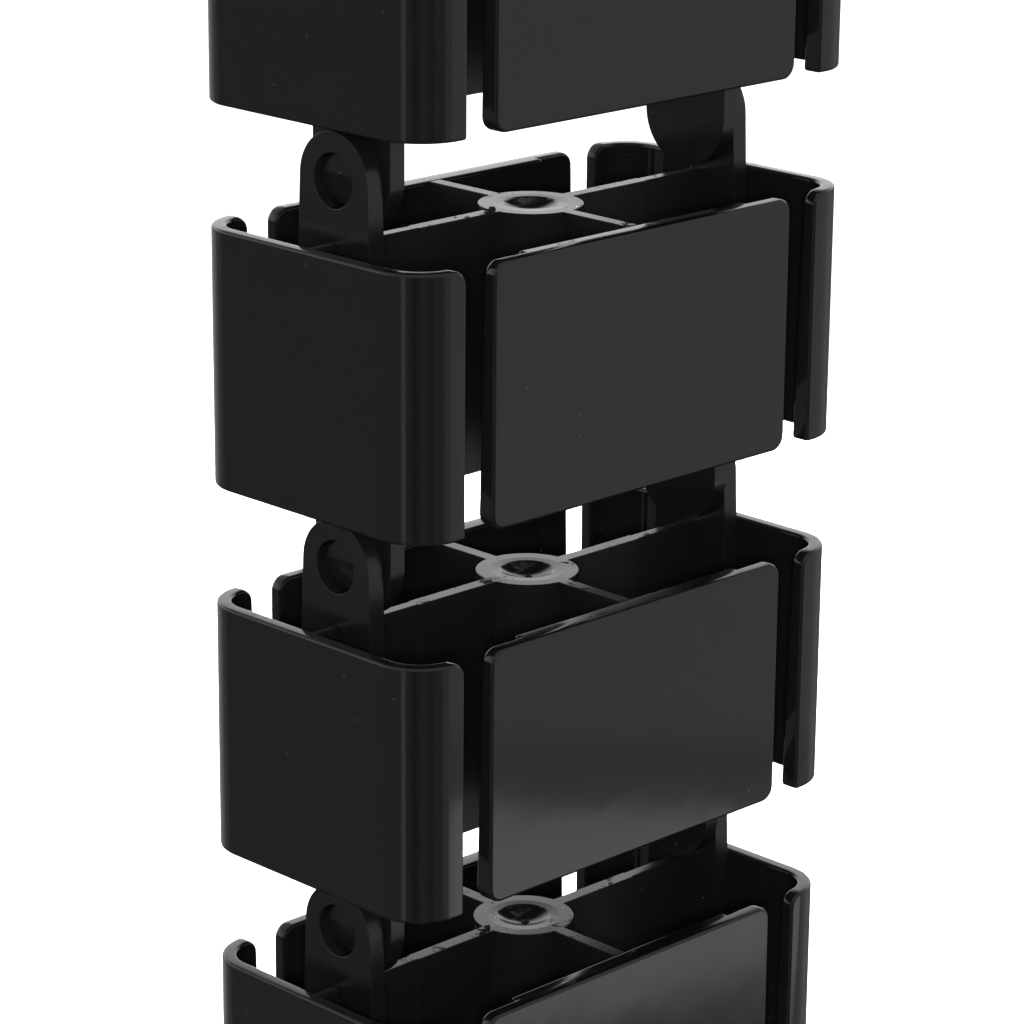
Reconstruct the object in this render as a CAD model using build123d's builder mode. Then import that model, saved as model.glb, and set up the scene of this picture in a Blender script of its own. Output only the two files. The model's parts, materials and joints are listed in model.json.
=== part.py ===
from build123d import *
from math import radians, tan
import os

# Cable spine: four hinged vertebrae that hang from the top pair of eyes.
# X runs along the hinge axes, -Y is the front, and the origin is the middle of the top hinge axis.

# Chain
vertebra_count = 4
vertebra_length = 80.0
vertebra_width = 42.2
wall_height = 34.2
hinge_rise = 7.9
pitch = wall_height + 2 * hinge_rise

# Walls: they thicken downwards by their draft
wall_top = 2.0
inner_draft = 1.35
corner_radius = 6.8

# Front and rear plates, and the arms of the end clips that leave the cable slots
plate_length = 54.2
slot_width = 4.7
plate_corner = 2.0
arm_foot_corner = 0.8
pad_length = 40.8
pad_depth = 1.0

# Cross web and hub
web_thin = 1.6
web_thick = 2.0
web_thick_reach = 20.8
cross_web = 1.9
hub_radius = 6.9
hub_wall = 2.5
dish_radius = 3.8
dish_depth = 1.2

# Link lugs: an eye slab above, a pin slab below, stepped past each other
lug_inset = 5.5
eye_thickness = 2.6
lug_gap = 0.4
pin_slab_thickness = 2.5
eye_radius = 6.2
eye_hole_radius = 3.5
pin_slab_radius = 7.1
flank_drop = 13.5
step_top = 12.0
step_fall = 4.0

# Snap pins
pin_clearance = 0.3
pin_recess = 1.1
ramp_start = 0.7
ramp_root = 1.1

# Places worked out from the sizes above
dish_ball = (dish_radius**2 + dish_depth**2) / (2 * dish_depth)
half_length = vertebra_length / 2
half_width = vertebra_width / 2
wall_lean = wall_height * tan(radians(inner_draft))
arm_tip = plate_length / 2 + slot_width
eye_face = half_length - lug_inset
eye_inner = eye_face - eye_thickness
pin_slab_outer = eye_inner - lug_gap
pin_slab_inner = pin_slab_outer - pin_slab_thickness
pin_radius = eye_hole_radius - pin_clearance
pin_end = eye_face - pin_recess
lug_foot = wall_height + hinge_rise


def front_view(top):
    """Plane seen from the front, with X to the right, Z up and its origin at the top of the walls."""
    return Plane(origin=(0, 0, top), x_dir=(1, 0, 0), z_dir=(0, -1, 0))


def side_view(top, x=0.0):
    """Plane seen from the side, with Y to the right, Z up and its origin at the top of the walls."""
    return Plane(origin=(x, 0, top), x_dir=(0, 1, 0), z_dir=(1, 0, 0))


def save(piece, name):
    """Names the piece and writes its file."""
    piece.label = name
    export_step(piece, f"parts/{name}.step")


def cross_web_piece(top):
    """Hub, dished on top and cored from below, on webs that run to the plates and to the inner faces of the lugs."""
    plate_face = half_width - wall_top - pad_depth
    with BuildPart() as web:
        with BuildSketch(front_view(top)):
            Polygon(
                (0, 0),
                (eye_inner, 0),
                (eye_inner, -step_top),
                (pin_slab_inner, -step_top - step_fall),
                (pin_slab_inner, -wall_height),
                (0, -wall_height),
                align=None,
            )
            mirror(about=Plane.YZ)
        extrude(amount=web_thin / 2, both=True)
        with BuildSketch(front_view(top)):
            with Locations((0, -wall_height / 2)):
                Rectangle(2 * web_thick_reach, wall_height)
        extrude(amount=web_thick / 2, both=True)
        with BuildSketch(side_view(top)):
            Polygon(
                (-plate_face, 0),
                (plate_face, 0),
                (plate_face - wall_lean, -wall_height),
                (wall_lean - plate_face, -wall_height),
                align=None,
            )
        extrude(amount=cross_web / 2, both=True)
        with BuildSketch(Plane.XY.offset(top)):
            Circle(hub_radius)
        extrude(amount=-wall_height)
        with BuildSketch(Plane.XY.offset(top - wall_height)):
            Circle(hub_radius - hub_wall)
        extrude(amount=wall_height - dish_depth - hub_wall, mode=Mode.SUBTRACT)
        with Locations((0, 0, top - dish_depth + dish_ball)):
            Sphere(dish_ball, rotation=(90, 0, 0), mode=Mode.SUBTRACT)
    return web.part


def plate_piece(side, top):
    """Front or rear plate: a drafted wall with rounded corners and a thicker strip on its inner face."""
    outer = half_width
    inner = half_width - wall_top
    pad = inner - pad_depth
    with BuildPart() as plate:
        with BuildSketch(side_view(top)):
            Polygon(
                (-outer, 0),
                (-inner, 0),
                (wall_lean - inner, -wall_height),
                (-outer, -wall_height),
                align=None,
            )
        extrude(amount=plate_length / 2, both=True)
        with BuildSketch(front_view(top)):
            with Locations((0, -wall_height / 2)):
                RectangleRounded(plate_length, wall_height, plate_corner)
        extrude(amount=vertebra_width, mode=Mode.INTERSECT)
        with BuildSketch(side_view(top)):
            Polygon(
                (-inner, 0),
                (-pad, 0),
                (wall_lean - pad, -wall_height),
                (wall_lean - inner, -wall_height),
                align=None,
            )
        extrude(amount=pad_length / 2, both=True)
        if side == "rear":
            mirror(about=Plane.XZ, mode=Mode.REPLACE)
    return plate.part


def hollow_space(top):
    """Space between the four walls, narrower towards its foot, with rounded corners."""
    with BuildPart() as space:
        for view, reach, mode in (
            (front_view(top), half_length - wall_top, Mode.ADD),
            (side_view(top), half_width - wall_top, Mode.INTERSECT),
        ):
            with BuildSketch(view):
                Polygon(
                    (-reach, 0),
                    (reach, 0),
                    (reach - wall_lean, -wall_height),
                    (wall_lean - reach, -wall_height),
                    align=None,
                )
            extrude(amount=vertebra_length, both=True, mode=mode)
        fillet(space.edges().group_by(Axis.Z)[1], corner_radius - wall_top)
    return space.part


def clip_piece(side, top):
    """C-shaped end wall whose arms stop short of the plates, with a stub web out to the lug."""
    space = hollow_space(top)
    with BuildPart() as clip:
        with BuildSketch(Plane.XY.offset(top)):
            RectangleRounded(vertebra_length, vertebra_width, corner_radius)
        extrude(amount=-wall_height)
        add(space, mode=Mode.SUBTRACT)
        with BuildSketch(front_view(top)) as keep:
            with Locations((arm_tip, -wall_height)):
                Rectangle(vertebra_length, wall_height, align=(Align.MIN, Align.MIN))
            tip = keep.vertices().group_by(Axis.X)[0].sort_by(Axis.Y)
            fillet(tip[-1], plate_corner)
            fillet(tip[0], arm_foot_corner)
        extrude(amount=vertebra_width, both=True, mode=Mode.INTERSECT)
        with BuildSketch(front_view(top)):
            Polygon(
                (half_length - wall_top, 0),
                (eye_face, 0),
                (eye_face, -step_top - step_fall),
                (pin_slab_outer, -step_top - 2 * step_fall),
                (pin_slab_outer, -wall_height),
                (half_length - wall_top - wall_lean, -wall_height),
                align=None,
            )
        extrude(amount=web_thin / 2, both=True)
        if side == "left":
            mirror(about=Plane.YZ, mode=Mode.REPLACE)
    return clip.part


def lug_piece(side, top):
    """Link lug: an eye above the walls and a snap pin below them, on slabs stepped past each other."""
    with BuildPart() as lug:
        with BuildSketch(front_view(top)):
            Polygon(
                (eye_inner, hinge_rise + eye_radius),
                (eye_face, hinge_rise + eye_radius),
                (eye_face, -step_top - step_fall),
                (pin_slab_outer, -step_top - 2 * step_fall),
                (pin_slab_outer, -lug_foot - pin_slab_radius),
                (pin_slab_inner, -lug_foot - pin_slab_radius),
                (pin_slab_inner, -step_top - step_fall),
                (eye_inner, -step_top),
                align=None,
            )
        extrude(amount=pin_slab_radius, both=True)
        with BuildSketch(side_view(top)):
            with BuildLine():
                foot = CenterArc((0, -lug_foot), pin_slab_radius, 180, 180)
                rear_flank = Line(foot @ 1, (pin_slab_radius, -flank_drop))
                rear_taper = Line(rear_flank @ 1, (eye_radius, hinge_rise))
                head = CenterArc((0, hinge_rise), eye_radius, 0, 180)
                front_taper = Line(head @ 1, (-pin_slab_radius, -flank_drop))
                Line(front_taper @ 1, foot @ 0)
            make_face()
        extrude(amount=vertebra_length, mode=Mode.INTERSECT)
        with BuildSketch(side_view(top)):
            with Locations((0, hinge_rise)):
                Circle(eye_hole_radius)
        extrude(amount=vertebra_length, mode=Mode.SUBTRACT)
        with BuildSketch(side_view(top, pin_slab_outer)):
            with Locations((0, -lug_foot)):
                Circle(pin_radius)
        extrude(amount=pin_end - pin_slab_outer)
        with BuildSketch(front_view(top)):
            Polygon(
                (pin_end, ramp_start - lug_foot),
                (pin_slab_outer + ramp_root, -pin_radius - lug_foot),
                (pin_end, -pin_radius - lug_foot),
                align=None,
            )
        extrude(amount=pin_radius, both=True, mode=Mode.SUBTRACT)
        if side == "left":
            mirror(about=Plane.YZ, mode=Mode.REPLACE)
    return lug.part


os.makedirs("parts", exist_ok=True)

for number in range(1, vertebra_count + 1):
    top = -hinge_rise - pitch * (number - 1)
    save(cross_web_piece(top), f"cross_web_{number}")
    for side in ("front", "rear"):
        save(plate_piece(side, top), f"{side}_plate_{number}")
    for side in ("left", "right"):
        save(clip_piece(side, top), f"{side}_clip_{number}")
        save(lug_piece(side, top), f"{side}_lug_{number}")
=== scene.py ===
import json
import math

import bmesh
import bpy
import numpy as np
from mathutils import Matrix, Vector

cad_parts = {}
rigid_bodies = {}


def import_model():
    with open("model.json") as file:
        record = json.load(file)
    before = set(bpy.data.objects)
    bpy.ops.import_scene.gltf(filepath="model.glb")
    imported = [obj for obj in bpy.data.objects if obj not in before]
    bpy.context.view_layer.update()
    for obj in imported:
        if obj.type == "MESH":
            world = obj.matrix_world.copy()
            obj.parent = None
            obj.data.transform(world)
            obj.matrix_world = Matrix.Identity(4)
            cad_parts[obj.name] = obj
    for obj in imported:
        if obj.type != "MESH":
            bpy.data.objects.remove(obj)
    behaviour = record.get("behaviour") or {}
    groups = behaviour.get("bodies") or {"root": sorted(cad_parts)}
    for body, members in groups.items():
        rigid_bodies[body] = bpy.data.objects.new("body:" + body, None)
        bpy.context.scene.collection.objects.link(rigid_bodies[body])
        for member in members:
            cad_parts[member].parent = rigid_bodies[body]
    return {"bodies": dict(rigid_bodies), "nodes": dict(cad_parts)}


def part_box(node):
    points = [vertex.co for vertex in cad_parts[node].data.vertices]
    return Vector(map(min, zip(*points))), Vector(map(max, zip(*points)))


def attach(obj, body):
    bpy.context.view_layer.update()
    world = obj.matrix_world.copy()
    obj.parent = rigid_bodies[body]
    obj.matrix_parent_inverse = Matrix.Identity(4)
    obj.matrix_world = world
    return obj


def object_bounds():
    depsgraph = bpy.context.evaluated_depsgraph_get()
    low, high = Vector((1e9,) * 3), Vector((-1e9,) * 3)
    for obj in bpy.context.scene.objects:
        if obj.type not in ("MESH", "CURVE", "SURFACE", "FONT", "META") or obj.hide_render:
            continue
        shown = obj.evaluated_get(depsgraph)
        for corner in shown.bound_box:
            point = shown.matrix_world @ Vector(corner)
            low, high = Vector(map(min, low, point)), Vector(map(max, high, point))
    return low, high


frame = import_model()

# A hanging cable spine of four hinged vertebrae in glossy black ABS. The CAD nodes keep their shape and get
# soft edges and moulded finishes. The gate stubs and burrs that the mould left are added as small pieces.

bl_info = {
    "name": "Cable spine looks",
    "version": (1, 0, 0),
    "blender": (4, 5, 0),
    "location": "View3D > Sidebar > Spine",
    "description": "Moulded ABS finishes, mould marks and studio for a hanging cable spine",
    "category": "Object",
}

CAD_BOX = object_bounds()
VERTEBRAE = sorted(frame["bodies"])
WALLS = ("front_plate", "rear_plate", "left_clip", "right_clip")
LUGS = ("left_lug", "right_lug")

# Places on the part, in metres. The centre of a wall's corner is a point in plan, and its z takes no part.
CORNER_CENTRE = (0.0332, 0.0143, 1.0)
RUBBED_SPOT = (0.0, -0.019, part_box("cross_web_3")[1].z)

# In millimetres: the hub's dish, how deep a stub is rooted in the plastic, and the spike of flash
DISH_DEPTH = 1.2
STUB_ROOT = 0.15
FLASH_THICKNESS = 0.3

# Brightness of the studio by heading in degrees from +X, for what lies low and for what lies above the spine
STUDIO_STRENGTH = 4.0
LOW_LEVELS = (
    (-180, 0.14), (-175, 0.16), (-171, 0.42), (-166.5, 0.56), (-162, 0.10), (-154, 0.08), (-148, 0.0),
    (-139, 0.0), (-131, 0.07), (-124, 0.10), (-117, 0.06), (-110, 0.02), (-105, 0.04), (-100, 0.13),
    (-94, 0.09), (-82, 0.18), (-77, 0.38), (-72, 0.27), (-65, 0.5), (-46, 0.47), (-26, 0.42), (-5, 0.40),
    (12, 0.17), (36, 0.2), (41, 1.3), (53, 1.3), (62, 0.55), (84, 0.46), (96, 0.38), (105, 0.22),
    (113, 0.23), (122, 0.14),
)
HIGH_LEVELS = (
    (-180, 0.35), (-135, 0.25), (-60, 0.4), (-20, 0.7), (5, 1.35), (85, 1.35), (110, 1.2), (150, 0.8),
    (180, 0.35),
)

# The photograph's view, found by fitting the walls' corners: metres, radians, and millimetres for the lens
CAMERA_PLACE = (-0.34357, -0.34295, 0.05051)
CAMERA_YAW, CAMERA_PITCH, CAMERA_ROLL = -0.7820, -0.3006, -0.0087
CAMERA_LENS, CAMERA_SENSOR = 134.38, 36.0


def linear(hex_colour):
    """sRGB hex to linear RGBA."""
    parts = [int(hex_colour[i : i + 2], 16) / 255 for i in (1, 3, 5)]
    return tuple(p / 12.92 if p <= 0.04045 else ((p + 0.055) / 1.055) ** 2.4 for p in parts) + (1.0,)


def add_node(tree, kind, inputs=None, **settings):
    """Adds a node with these settings. Each named or numbered input gets a value or an output to read."""
    node = tree.nodes.new(kind)
    for name, value in settings.items():
        setattr(node, name, value)
    for name, value in (inputs or {}).items():
        if isinstance(value, bpy.types.NodeSocket):
            tree.links.new(value, node.inputs[name])
        else:
            node.inputs[name].default_value = value
    return node


def map_range(tree, value, start, end, low=0.0, high=1.0, smooth=False):
    """Goes from low to high as value goes from start to end, and stays there beyond them."""
    kind = "SMOOTHSTEP" if smooth else "LINEAR"
    inputs = {0: value, 1: start, 2: end, 3: low, 4: high}
    return add_node(tree, "ShaderNodeMapRange", inputs, interpolation_type=kind).outputs[0]


def arithmetic(tree, operation, *values):
    """Result of one operation on values or outputs."""
    return add_node(tree, "ShaderNodeMath", dict(enumerate(values)), operation=operation).outputs[0]


def vectors(tree, operation, *values):
    """Result of one operation on vectors."""
    return add_node(tree, "ShaderNodeVectorMath", dict(enumerate(values)), operation=operation).outputs[0]


def distance(tree, point, other=(0.0, 0.0, 0.0)):
    """Length of the way from one point to another."""
    inputs = {0: point, 1: other}
    return add_node(tree, "ShaderNodeVectorMath", inputs, operation="DISTANCE").outputs["Value"]


def noise(tree, place, scale, detail):
    """Soft noise with that many cells to the metre, mostly between 0.3 and 0.7."""
    inputs = {"Vector": place, "Scale": scale, "Detail": detail}
    return add_node(tree, "ShaderNodeTexNoise", inputs).outputs[0]


def mixed(tree, share, colour, other):
    """Colour that goes over into the other one by that share."""
    return add_node(tree, "ShaderNodeMix", {0: share, 6: colour, 7: other}, data_type="RGBA").outputs[2]


def grey(level):
    """Grey of that brightness."""
    return (level, level, level, 1.0)


def flecks(tree, place, cell, radius, share):
    """1 inside round flecks, one in each of a random share of cells. cell and radius are in mm."""
    voronoi = add_node(tree, "ShaderNodeTexVoronoi", {"Vector": place, "Scale": 1000 / cell})
    lot = add_node(tree, "ShaderNodeSeparateColor", {0: voronoi.outputs["Color"]}).outputs[0]
    chosen = arithmetic(tree, "LESS_THAN", lot, share)
    edge = radius / cell
    spot = map_range(tree, voronoi.outputs["Distance"], edge, 0.5 * edge)
    return arithmetic(tree, "MULTIPLY", spot, chosen)


def hairlines(tree, place, cell, width, share):
    """1 along thin scratches, short stretches of the borders of cells. cell and width are in mm."""
    inputs = {"Vector": place, "Scale": 1000 / cell}
    borders = add_node(tree, "ShaderNodeTexVoronoi", inputs, feature="DISTANCE_TO_EDGE").outputs["Distance"]
    edge = width / cell
    line = map_range(tree, borders, edge, 0.3 * edge)
    patch = map_range(tree, noise(tree, place, 9000 / cell, 0.0), 1 - share, 1.02 - share)
    return arithmetic(tree, "MULTIPLY", line, patch)


def leant(tree, normal, direction, slope):
    """The normal leaned that way by that slope."""
    shift = add_node(tree, "ShaderNodeVectorMath", {0: direction, 3: slope}, operation="SCALE").outputs[0]
    return vectors(tree, "NORMALIZE", vectors(tree, "ADD", normal, shift))


def crowned_tops(tree, place, normal, up):
    """Walls' tops that fall away over their outer half, by up to 6 degrees.

    A point's way out is its offset from the rectangle through the centres of the walls' corners.
    """
    crown_start, crown_end, edge_slope = 0.0052, 0.0066, 0.11
    flat = vectors(tree, "MULTIPLY", place, (1.0, 1.0, 0.0))
    opposite = tuple(-c for c in CORNER_CENTRE)
    within = vectors(tree, "MAXIMUM", vectors(tree, "MINIMUM", flat, CORNER_CENTRE), opposite)
    out = vectors(tree, "SUBTRACT", flat, within)
    fall = map_range(tree, distance(tree, out), crown_start, crown_end, 0.0, edge_slope)
    return leant(tree, normal, vectors(tree, "NORMALIZE", out), arithmetic(tree, "MULTIPLY", fall, up))


def funnelled_hub(tree, place, normal, up):
    """Ring round the hub's dish that sinks towards it by 4 degrees, from 5.1 mm in to the dish's rim."""
    ring_start, ring_full, ring_slope = 0.0052, 0.0049, -0.07
    out = vectors(tree, "MULTIPLY", place, (1.0, 1.0, 0.0))
    ring = map_range(tree, distance(tree, out), ring_start, ring_full, smooth=True)
    slope = arithmetic(tree, "MULTIPLY", arithmetic(tree, "MULTIPLY", ring, up), ring_slope)
    return leant(tree, normal, vectors(tree, "NORMALIZE", out), slope)


def facing_across(tree):
    """How far the flat face points along the hinge axis, from 0 to 1, and its own normal."""
    true = add_node(tree, "ShaderNodeNewGeometry").outputs["True Normal"]
    return arithmetic(tree, "ABSOLUTE", add_node(tree, "ShaderNodeSeparateXYZ", {0: true}).outputs[0]), true


def crisp_sides(tree, place, normal, up):
    """Flat faces across the hinge axis keep a crisp crease, such as the one where the pin's ramp starts."""
    across, true = facing_across(tree)
    flat = map_range(tree, across, 0.975, 0.978)
    return add_node(tree, "ShaderNodeMix", {0: flat, 4: normal, 5: true}, data_type="VECTOR").outputs[1]


def worn_roughness(tree, place, up, gloss, scuffs):
    """Roughness that the steel's polish left, with the marks of handling and of wear on level faces.

    up is 1 on level faces, gloss the roughness of the polish and scuffs that of the worn spots.
    """
    # handling marks: the gloss drifts over about 12 mm
    rough = map_range(tree, noise(tree, place, 85.0, 3.0), 0.35, 0.7, gloss, gloss * 1.5)

    # level faces carry fine pits and worn spots, which take the sky's shine off them
    level_dulling, pit_dulling = 0.06, 0.6
    wear = noise(tree, place, 210.0, 2.0)
    pits = flecks(tree, place, cell=0.9, radius=0.25, share=0.3)
    pits = arithmetic(tree, "MULTIPLY", pits, map_range(tree, wear, 0.5, 0.62))
    spots = map_range(tree, noise(tree, place, 900.0, 3.0), 0.5, 0.6)
    spots = arithmetic(tree, "MULTIPLY", spots, map_range(tree, wear, 0.58, 0.68, 0.0, scuffs))
    pits = arithmetic(tree, "MULTIPLY", arithmetic(tree, "MAXIMUM", pits, spots), up)
    rough = arithmetic(tree, "MULTIPLY_ADD", pits, pit_dulling, rough)
    rough = arithmetic(tree, "MULTIPLY_ADD", up, level_dulling, rough)

    # one spot at the front of the third vertebra is rubbed dull
    rubbed = map_range(tree, distance(tree, place, RUBBED_SPOT), 0.013, 0.006, 0.0, 0.4)
    return arithmetic(tree, "ADD", arithmetic(tree, "MULTIPLY", rubbed, up), rough)


def burnished_ramps(tree, rough):
    """The roughness, brought down to a quarter on the pins' ramps, which lean by about 12 degrees."""
    across = facing_across(tree)[0]
    ramp = map_range(tree, across, 0.975, 0.978)
    ramp = arithmetic(tree, "MULTIPLY", ramp, map_range(tree, across, 0.99, 0.985))
    return arithmetic(tree, "MULTIPLY", rough, map_range(tree, ramp, 0.0, 1.0, 1.0, 0.25))


def dust_marks(tree, place, dust):
    """1 on grey flecks of about 0.2 mm and drifts of finer ones, 0.3 on short scratches 0.1 mm wide.

    dust is the share of cells with a fleck.
    """
    specks = flecks(tree, place, cell=3.1, radius=0.13, share=dust)
    fine = flecks(tree, place, cell=1.3, radius=0.07, share=dust * 0.8)
    scratches = arithmetic(tree, "MULTIPLY", hairlines(tree, place, cell=23.0, width=0.06, share=0.2), 0.3)
    drift = map_range(tree, noise(tree, place, 70.0, 1.0), 0.58, 0.68, 0.0, dust)
    cloud = arithmetic(tree, "MULTIPLY", flecks(tree, place, cell=0.55, radius=0.08, share=0.2), drift)
    marks = arithmetic(tree, "MAXIMUM", scratches, cloud)
    return arithmetic(tree, "MAXIMUM", arithmetic(tree, "MAXIMUM", specks, fine), marks)


def empty_material(name):
    """Material with no nodes, and its tree."""
    material = bpy.data.materials.new(name)
    material.use_nodes = True
    material.node_tree.nodes.clear()
    return material, material.node_tree


def plastic_surface(tree, settings, colour, rough, height, normal=None):
    """Ends the tree in ABS with that colour, roughness, height in metres and, where given, normal."""
    inputs = {"Height": height, "Strength": 1.0, "Distance": 1.0}
    if normal is not None:
        inputs["Normal"] = normal
    bump = add_node(tree, "ShaderNodeBump", inputs).outputs[0]
    inputs = {"Base Color": colour, "Roughness": rough, "IOR": settings.ior, "Normal": bump}
    shader = add_node(tree, "ShaderNodeBsdfPrincipled", inputs).outputs[0]
    add_node(tree, "ShaderNodeOutputMaterial", {"Surface": shader})


def moulded_abs(name, settings, gloss, grain, dust, shape_normals, scuffs=0.0, drawn=0.0, burnished=False):
    """Black ABS, solid colour right through, injection moulded against steel.

    gloss is the roughness that the steel's polish left, grain the depth of its waves in mm, dust the share
    of cells with a fleck of dust, and shape_normals a function that leans or flattens the normals. scuffs is
    the roughness of worn spots on level faces, and drawn the depth in mm of the marks that were drawn as the
    piece left the mould. burnished says that the eyes rubbed the pins' ramps smooth as they snapped in.
    """
    material, tree = empty_material(name)
    place = add_node(tree, "ShaderNodeTexCoord").outputs["Object"]
    normal = add_node(tree, "ShaderNodeNewGeometry").outputs["Normal"]
    upright = add_node(tree, "ShaderNodeSeparateXYZ", {0: normal}).outputs[2]
    rough = worn_roughness(tree, place, map_range(tree, upright, 0.985, 0.995), gloss, scuffs)
    if burnished:
        rough = burnished_ramps(tree, rough)
    marks = dust_marks(tree, place, dust)
    colour = mixed(tree, marks, linear(settings.plastic), linear(settings.dust))
    rough = arithmetic(tree, "MULTIPLY_ADD", marks, 0.4, rough)

    # waves of the steel, about 8 mm long, bend the reflections
    height = arithmetic(tree, "MULTIPLY", noise(tree, place, 125.0, 1.0), grain / 1000)
    if drawn:
        sides = map_range(tree, upright, 0.5, 0.3)
        rough = arithmetic(tree, "MULTIPLY_ADD", sides, 0.2, rough)
        streaks = {"Vector": place, "Scale": (900.0, 900.0, 25.0)}
        streaks = noise(tree, add_node(tree, "ShaderNodeMapping", streaks).outputs[0], 1.0, 2.0)
        streaks = arithmetic(tree, "MULTIPLY", streaks, arithmetic(tree, "MULTIPLY", sides, drawn / 1000))
        height = arithmetic(tree, "ADD", streaks, height)
    normal = shape_normals(tree, place, normal, map_range(tree, upright, 0.99, 0.999))
    plastic_surface(tree, settings, colour, rough, height, normal)
    return material


def torn_abs(name, settings):
    """ABS where a gate or a burr tore off: dull, grainy and slightly whitened by the strain."""
    material, tree = empty_material(name)
    place = add_node(tree, "ShaderNodeTexCoord").outputs["Object"]
    grain = noise(tree, place, 4000.0, 4.0)
    strain = map_range(tree, grain, 0.55, 0.75, 0.0, 0.5)
    colour = mixed(tree, strain, linear(settings.plastic), linear(settings.strained))
    plastic_surface(tree, settings, colour, 0.55, arithmetic(tree, "MULTIPLY", grain, 0.0001))
    return material


def finish_nodes(kinds, material, bevel_mm):
    """Softens the edges of these CAD nodes with live modifiers and gives them the material.

    Corners that lean by less than crease stay as they are, so round walls keep their curve.
    """
    merge_distance, flat_angle, crease = 1e-6, math.radians(1), math.radians(40)
    for body in VERTEBRAE:
        number = body.rsplit("_", 1)[1]
        for kind in kinds:
            node = frame["nodes"][f"{kind}_{number}"]
            for slot in node.material_slots:
                slot.material = material
            weld = node.modifiers.new("join", "WELD")
            weld.merge_threshold = merge_distance
            flats = node.modifiers.new("one face to each flat", "DECIMATE")
            flats.decimate_type = "DISSOLVE"
            flats.angle_limit = flat_angle
            bevel = node.modifiers.new("soft edges", "BEVEL")
            bevel.width = bevel_mm / 1000
            bevel.segments = 3
            bevel.limit_method = "ANGLE"
            bevel.angle_limit = crease
            even = node.modifiers.new("even shading", "WEIGHTED_NORMAL")
            even.weight = 100
            even.keep_sharp = False


def surface_piece(name, points, material, body):
    """Mesh from a grid of points, closed round its columns, with both ends closed by a fan to their middle.

    points has the shape (rows, columns, 3), in mm.
    """
    rows, columns, _ = points.shape
    ends = np.stack([points[0].mean(0), points[-1].mean(0)])
    vertices = np.concatenate([points.reshape(-1, 3), ends]) / 1000
    row, column = np.meshgrid(np.arange(rows - 1), np.arange(columns), indexing="ij")
    after = (column + 1) % columns
    here, above = row * columns, (row + 1) * columns
    quads = np.stack([here + column, here + after, above + after, above + column], -1)
    ring = np.arange(columns)
    following = (ring + 1) % columns
    last = (rows - 1) * columns
    first_fan = np.stack([following, ring, np.full(columns, rows * columns)], -1)
    last_fan = np.stack([last + ring, last + following, np.full(columns, rows * columns + 1)], -1)
    mesh = bpy.data.meshes.new(name)
    faces = quads.reshape(-1, 4).tolist() + first_fan.tolist() + last_fan.tolist()
    mesh.from_pydata(vertices.tolist(), [], faces)
    mesh.validate()
    work = bmesh.new()
    work.from_mesh(mesh)
    bmesh.ops.recalc_face_normals(work, faces=work.faces)
    work.to_mesh(mesh)
    work.free()
    mesh.polygons.foreach_set("use_smooth", np.ones(len(mesh.polygons), bool))
    mesh.materials.append(material)
    piece = bpy.data.objects.new(name, mesh)
    bpy.context.scene.collection.objects.link(piece)
    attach(piece, body)


def stub_points(centre, size, height, shrink, seed):
    """A torn stub: a ragged outline that shrinks as it rises to a ragged top.

    At turn t and rise r the point lies (size_x/2 cos t, size_y/2 sin t) (1 - shrink r^2) (1 + ragged(t))
    from centre. It stands r (height + root) (1 + 1.5 ragged(t - 90 degrees)) above the root, which is a
    little under centre. ragged is a short sum of sines.
    """
    random = np.random.default_rng(seed)
    turn = np.linspace(0, 2 * np.pi, 36, endpoint=False)[None, :]
    rise = np.linspace(0, 1, 9)[:, None]
    phases = random.uniform(0, 2 * np.pi, 5)
    ragged = 0.16 * sum(np.sin((2 + k) * turn + phases[k]) / (2 + k) for k in range(5))
    reach = (1 - shrink * rise**2) * (1 + ragged)
    x = centre[0] + size[0] / 2 * np.cos(turn) * reach
    y = centre[1] + size[1] / 2 * np.sin(turn) * reach
    z = centre[2] - STUB_ROOT + (height + STUB_ROOT) * rise * (1 + 1.5 * np.roll(ragged, 9, axis=1))
    return np.stack([x, y, z], -1)


def whisker_points(path, thick):
    """A drawn-out whisker: rings round a smooth path, thinning to a third at its tip.

    The path is the Bezier curve of the points. At u along it, from 0 to 1, the ring's radius is
    thick/2 (1 - 0.67 u), and the rings stand square to the path.
    """
    path = np.array(path, float)
    u = np.linspace(0, 1, 25)[:, None]
    order = len(path) - 1
    weights = [math.comb(order, k) * u**k * (1 - u) ** (order - k) for k in range(order + 1)]
    middle = np.concatenate(weights, 1) @ path
    ahead = np.gradient(middle, axis=0)
    ahead /= np.linalg.norm(ahead, axis=1, keepdims=True)
    aside = np.cross(ahead, [0.31, 0.23, 0.92])
    aside /= np.linalg.norm(aside, axis=1, keepdims=True)
    over = np.cross(ahead, aside)
    turn = np.linspace(0, 2 * np.pi, 14, endpoint=False)[None, :, None]
    radius = (thick / 2 * (1 - 0.67 * u))[:, :, None]
    return middle[:, None] + radius * (np.cos(turn) * aside[:, None] + np.sin(turn) * over[:, None])


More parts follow.
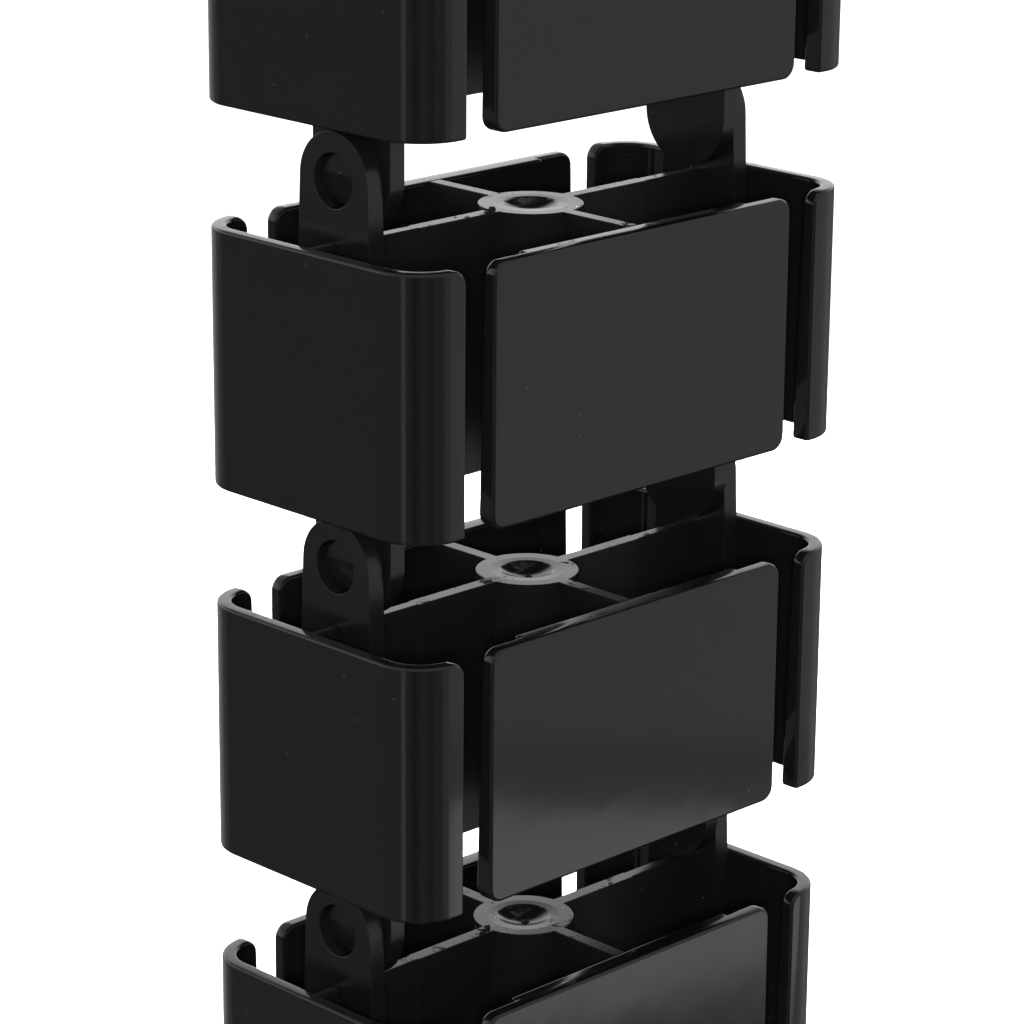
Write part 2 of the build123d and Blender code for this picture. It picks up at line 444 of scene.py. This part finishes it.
class SpineFinishSettings(bpy.types.PropertyGroup):
    """Colours and gloss of the moulded pieces."""

    plastic: bpy.props.StringProperty(
        name="Plastic",
        description="Colour of the black ABS, sRGB hex",
        default="#080808",
    )
    dust: bpy.props.StringProperty(
        name="Dust",
        description="Colour of settled dust and scratches, sRGB hex",
        default="#3C3C3A",
    )
    strained: bpy.props.StringProperty(
        name="Strained",
        description="Colour of torn plastic, sRGB hex",
        default="#161616",
    )
    ior: bpy.props.FloatProperty(
        name="IOR",
        description="Index of refraction of ABS",
        default=1.53,
        min=1.3,
        max=1.8,
    )
    wall_gloss: bpy.props.FloatProperty(
        name="Wall roughness",
        description="Roughness of the polished walls",
        default=0.045,
        min=0.0,
        max=1.0,
    )
    web_gloss: bpy.props.FloatProperty(
        name="Web roughness",
        description="Roughness of the drawn webs",
        default=0.15,
        min=0.0,
        max=1.0,
    )
    lug_gloss: bpy.props.FloatProperty(
        name="Lug roughness",
        description="Roughness of the hinge lugs",
        default=0.2,
        min=0.0,
        max=1.0,
    )
    edge: bpy.props.FloatProperty(
        name="Edge softness",
        description="Width of the walls' softened edges, in millimetres",
        default=0.45,
        min=0.0,
        max=1.0,
    )
    fine_edge: bpy.props.FloatProperty(
        name="Fine edges",
        description="Width of the webs' and lugs' edges, as a share of the walls'",
        default=0.25,
        min=0.0,
        max=1.0,
    )


class SpineMarkSettings(bpy.types.PropertyGroup):
    """Sizes of the small marks that the mould left."""

    gate: bpy.props.FloatProperty(
        name="Gate",
        description="Width of the gate torn off the web's top, in millimetres",
        default=1.9,
        min=0.5,
        max=4.0,
    )
    whisker: bpy.props.FloatProperty(
        name="Whisker",
        description="Thickness of the whisker that some gates drew out, in millimetres",
        default=0.4,
        min=0.05,
        max=1.0,
    )
    sprue: bpy.props.FloatProperty(
        name="Sprue",
        description="Width of the sprue's stub in the hub's dish, in millimetres",
        default=1.1,
        min=0.2,
        max=3.0,
    )
    flash: bpy.props.FloatProperty(
        name="Flash",
        description="Length of the spike of flash under a clip's arm, in millimetres",
        default=0.4,
        min=0.1,
        max=1.0,
    )


class SpineStageSettings(bpy.types.PropertyGroup):
    """The studio round the spine."""

    floor_drop: bpy.props.FloatProperty(
        name="Floor drop",
        description="Depth of the floor under the lowest pins",
        default=0.033,
        min=0.0,
        subtype="DISTANCE",
        unit="LENGTH",
    )
    floor_colour: bpy.props.StringProperty(
        name="Floor",
        description="Colour of the floor, sRGB hex",
        default="#F0F0F0",
    )
    panel_power: bpy.props.FloatProperty(
        name="Panel power",
        description="Power of the panel over the floor, in watts",
        default=38.0,
        min=0.0,
    )
    fill_power: bpy.props.FloatProperty(
        name="Fill power",
        description="Power of each small lamp, before and behind the spine, in watts",
        default=7.5,
        min=0.0,
    )


class SPINE_OT_wall_finish(bpy.types.Operator):
    """Polished ABS on the plates and end clips"""

    bl_idname = "spine.wall_finish"
    bl_label = "Finish the walls"

    def execute(self, context):
        settings = context.scene.spine_finish
        material = moulded_abs(
            "polished_abs_wall",
            settings,
            gloss=settings.wall_gloss,
            grain=0.012,
            dust=0.22,
            scuffs=0.5,
            shape_normals=crowned_tops,
        )
        finish_nodes(WALLS, material, settings.edge)
        return {"FINISHED"}


class SPINE_OT_web_finish(bpy.types.Operator):
    """Plain drawn ABS on the cross webs"""

    bl_idname = "spine.web_finish"
    bl_label = "Finish the webs"

    def execute(self, context):
        settings = context.scene.spine_finish
        material = moulded_abs(
            "drawn_abs_web",
            settings,
            gloss=settings.web_gloss,
            grain=0.01,
            dust=0.45,
            scuffs=1.0,
            drawn=0.01,
            shape_normals=funnelled_hub,
        )
        finish_nodes(("cross_web",), material, settings.edge * settings.fine_edge)
        return {"FINISHED"}


class SPINE_OT_lug_finish(bpy.types.Operator):
    """ABS rubbed by the hinges on the lugs"""

    bl_idname = "spine.lug_finish"
    bl_label = "Finish the lugs"

    def execute(self, context):
        settings = context.scene.spine_finish
        material = moulded_abs(
            "rubbed_abs_lug",
            settings,
            gloss=settings.lug_gloss,
            grain=0.01,
            dust=0.5,
            shape_normals=crisp_sides,
            burnished=True,
        )
        finish_nodes(LUGS, material, settings.edge * settings.fine_edge)
        return {"FINISHED"}


class SPINE_OT_mould_marks(bpy.types.Operator):
    """Torn gates on the webs, stubs of the sprue in the hubs' dishes and a spike of flash"""

    bl_idname = "spine.mould_marks"
    bl_label = "Add the mould marks"

    def execute(self, context):
        marks = context.scene.spine_marks
        material = torn_abs("torn_abs_gate", context.scene.spine_finish)
        for number, body in enumerate(VERTEBRAE, 1):
            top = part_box(f"cross_web_{number}")[1].z * 1000
            # every other gate tore off flat; the rest left a knob and drew out a whisker
            if number % 2:
                size = (marks.gate, marks.gate * 0.9)
                points = stub_points((-7.6, 0.0, top), size, height=0.12, shrink=0.2, seed=number)
                surface_piece(f"gate_stub_{number}", points, material, body)
            else:
                size = (marks.gate * 0.6, marks.gate * 0.5)
                points = stub_points((-6.9, 0.15, top), size, height=0.4, shrink=0.4, seed=number)
                surface_piece(f"gate_stub_{number}", points, material, body)
                size = (marks.gate * 0.8, marks.gate * 0.4)
                points = stub_points((-8.2, -0.4, top), size, height=0.1, shrink=0.2, seed=10 + number)
                surface_piece(f"gate_flake_{number}", points, material, body)
                path = [(-7.2, 0.1, 0.0), (-7.9, -0.9, 0.5), (-9.2, -0.3, 0.2), (-8.4, 0.8, 0.5)]
                path = [(x, y, top + rise) for x, y, rise in path]
                points = whisker_points(path, marks.whisker)
                surface_piece(f"gate_whisker_{number}", points, material, body)
            floor = (0.15, -0.1, top - DISH_DEPTH)
            size = (marks.sprue, marks.sprue)
            points = stub_points(floor, size, height=0.35, shrink=0.6, seed=20 + number)
            surface_piece(f"sprue_stub_{number}", points, material, body)

        # flash hangs from the foot of the right clip's front arm, on the third vertebra alone
        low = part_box("right_clip_3")[0].z * 1000
        foot, tip = low + 0.1, low - marks.flash
        path = [(33.0, -20.4, foot), (32.9, -20.6, low - marks.flash * 0.4), (32.8, -20.7, tip)]
        points = whisker_points(path, FLASH_THICKNESS)
        surface_piece("flash_spike_3", points, material, VERTEBRAE[2])
        return {"FINISHED"}


class SPINE_OT_stage(bpy.types.Operator):
    """Pale floor, soft light and camera"""

    bl_idname = "spine.stage"
    bl_label = "Set the stage"

    def execute(self, context):
        stage = context.scene.spine_stage
        self.floor(context, stage)
        self.lamp(
            context,
            "floor_panel",
            shape="SQUARE",
            size=1.6,
            power=stage.panel_power,
            place=(0.75, 0.7, 1.1),
            turn=(0.0, 0.0, 0.0),
        )

        # small lamps before and behind the spine, turned towards it, reach into the hollows
        for name, side in (("front_fill", -1), ("rear_fill", 1)):
            self.lamp(
                context,
                name,
                shape="DISK",
                size=0.08,
                power=stage.fill_power,
                place=(0.4 * side, 0.4 * side, 0.06),
                turn=(math.radians(78), 0.0, math.radians(45 + 90 * side)),
            )

        self.world(context)
        self.camera(context)
        context.scene.view_settings.view_transform = "Standard"
        return {"FINISHED"}

    def floor(self, context, stage):
        """A wide sheet of matt paper under the spine."""
        half_side = 6.0
        level = CAD_BOX[0].z - stage.floor_drop
        corners = [(x * half_side, y * half_side, level) for x, y in ((-1, -1), (1, -1), (1, 1), (-1, 1))]
        mesh = bpy.data.meshes.new("floor")
        mesh.from_pydata(corners, [], [(0, 1, 2, 3)])
        paper = bpy.data.materials.new("matt_paper_floor")
        paper.use_nodes = True
        shader = paper.node_tree.nodes["Principled BSDF"]
        shader.inputs["Base Color"].default_value = linear(stage.floor_colour)
        shader.inputs["Roughness"].default_value = 0.9
        mesh.materials.append(paper)
        floor = bpy.data.objects.new("floor", mesh)
        context.scene.collection.objects.link(floor)
        floor.visible_glossy = False

    def lamp(self, context, name, shape, size, power, place, turn):
        """An area lamp that neither the camera nor a reflection sees."""
        light = bpy.data.lights.new(name, "AREA")
        light.shape = shape
        light.size = size
        light.energy = power
        lamp = bpy.data.objects.new(name, light)
        lamp.location = place
        lamp.rotation_euler = turn
        lamp.visible_glossy = False
        lamp.visible_camera = False
        context.scene.collection.objects.link(lamp)

    def world(self, context):
        """A studio whose brightness depends on direction: bright behind the spine, dim in front of it."""
        world = bpy.data.worlds.new("studio")
        context.scene.world = world
        world.use_nodes = True
        tree = world.node_tree
        tree.nodes.clear()
        look = add_node(tree, "ShaderNodeTexCoord").outputs["Generated"]
        east, north, up = add_node(tree, "ShaderNodeSeparateXYZ", {0: look}).outputs
        turn = arithmetic(tree, "ARCTAN2", north, east)
        turn = arithmetic(tree, "MULTIPLY_ADD", turn, 0.5 / math.pi, 0.5)
        low, high = (self.brightness(tree, turn, table) for table in (LOW_LEVELS, HIGH_LEVELS))
        glow = mixed(tree, map_range(tree, up, -0.05, 0.1, smooth=True), low, high)

        # grey levels here are shares of the studio's strength, and angles are in degrees
        overhead_level, strip_level, patch_level, ground_level = 0.12, 0.085, 0.28, 0.008
        glow = mixed(tree, map_range(tree, up, 0.36, 0.62, smooth=True), glow, grey(overhead_level))

        # low in front lies a lit patch of the table, with a dim strip along its far edge
        elevation = arithmetic(tree, "DEGREES", arithmetic(tree, "ARCSINE", up))
        heading = arithmetic(tree, "MULTIPLY_ADD", turn, 360.0, -180.0)
        ahead = map_range(tree, heading, -70.0, -62.0)
        ahead = arithmetic(tree, "MULTIPLY", ahead, map_range(tree, heading, -10.0, -25.0))
        strip = map_range(tree, elevation, -20.3, -20.7, 0.0, 0.95, smooth=True)
        glow = mixed(tree, arithmetic(tree, "MULTIPLY", strip, ahead), glow, grey(strip_level))

        # the patch's near edge runs aslant, and rises by 0.3 degrees for each degree of heading
        aslant = arithmetic(tree, "MULTIPLY_ADD", heading, -0.3, arithmetic(tree, "ADD", elevation, 11.3))
        patch = map_range(tree, elevation, -21.4, -21.9, smooth=True)
        patch = arithmetic(tree, "MULTIPLY", patch, map_range(tree, aslant, -0.75, 0.0, smooth=True))
        glow = mixed(tree, arithmetic(tree, "MULTIPLY", patch, ahead), glow, grey(patch_level))

        # under the table it is almost black
        glow = mixed(tree, map_range(tree, elevation, -25.0, -27.0, smooth=True), glow, grey(ground_level))
        inputs = {"Color": glow, "Strength": STUDIO_STRENGTH}
        background = add_node(tree, "ShaderNodeBackground", inputs).outputs[0]
        add_node(tree, "ShaderNodeOutputWorld", {"Surface": background})

    def brightness(self, tree, turn, table):
        """Brightness from a table by heading. turn goes from 0 to 1 as the heading goes from -180 to 180."""
        ramp = add_node(tree, "ShaderNodeValToRGB", {0: turn})
        ramp.color_ramp.interpolation = "EASE"
        stops = ramp.color_ramp.elements
        while len(stops) < len(table):
            stops.new(0.5)
        for stop, (heading, _) in zip(stops, table):
            stop.position = heading / 360 + 0.5
        for stop, (_, level) in zip(stops, table):
            stop.color = grey(level / STUDIO_STRENGTH)
        return ramp.outputs[0]

    def camera(self, context):
        """The photograph's view."""
        yaw, pitch, roll = CAMERA_YAW, CAMERA_PITCH, CAMERA_ROLL
        level = math.cos(pitch)
        ahead = np.array([math.sin(-yaw) * level, math.cos(yaw) * level, math.sin(pitch)])
        right = np.array([math.cos(yaw), math.sin(yaw), 0.0])
        right -= ahead * (right @ ahead)
        right /= np.linalg.norm(right)
        down = np.cross(ahead, right)
        across = math.cos(roll) * right + math.sin(roll) * down
        below = -math.sin(roll) * right + math.cos(roll) * down
        lens = bpy.data.cameras.new("camera")
        lens.sensor_fit = "HORIZONTAL"
        lens.sensor_width = CAMERA_SENSOR
        lens.lens = CAMERA_LENS
        lens.clip_start = 0.01
        camera = bpy.data.objects.new("camera", lens)
        turned = Matrix([across.tolist(), (-below).tolist(), (-ahead).tolist()]).transposed().to_4x4()
        turned.translation = CAMERA_PLACE
        camera.matrix_world = turned
        context.scene.collection.objects.link(camera)
        context.scene.camera = camera


class SPINE_PT_panel(bpy.types.Panel):
    """Lists the steps that dress the spine"""

    bl_idname = "SPINE_PT_panel"
    bl_label = "Cable spine"
    bl_space_type = "VIEW_3D"
    bl_region_type = "UI"
    bl_category = "Spine"

    def draw(self, context):
        layout = self.layout
        for group in ("spine_finish", "spine_marks", "spine_stage"):
            settings = getattr(context.scene, group)
            for name in settings.__annotations__:
                layout.prop(settings, name)
        for operator in OPERATORS:
            layout.operator(operator.bl_idname)


OPERATORS = (
    SPINE_OT_wall_finish,
    SPINE_OT_web_finish,
    SPINE_OT_lug_finish,
    SPINE_OT_mould_marks,
    SPINE_OT_stage,
)
CLASSES = (SpineFinishSettings, SpineMarkSettings, SpineStageSettings) + OPERATORS + (SPINE_PT_panel,)


def register():
    for kind in CLASSES:
        bpy.utils.register_class(kind)
    bpy.types.Scene.spine_finish = bpy.props.PointerProperty(type=SpineFinishSettings)
    bpy.types.Scene.spine_marks = bpy.props.PointerProperty(type=SpineMarkSettings)
    bpy.types.Scene.spine_stage = bpy.props.PointerProperty(type=SpineStageSettings)


def unregister():
    del bpy.types.Scene.spine_stage
    del bpy.types.Scene.spine_marks
    del bpy.types.Scene.spine_finish
    for kind in reversed(CLASSES):
        bpy.utils.unregister_class(kind)


def main():
    """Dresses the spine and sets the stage."""
    register()
    bpy.ops.spine.wall_finish()
    bpy.ops.spine.web_finish()
    bpy.ops.spine.lug_finish()
    bpy.ops.spine.mould_marks()
    bpy.ops.spine.stage()


if __name__ == "__main__":
    main()
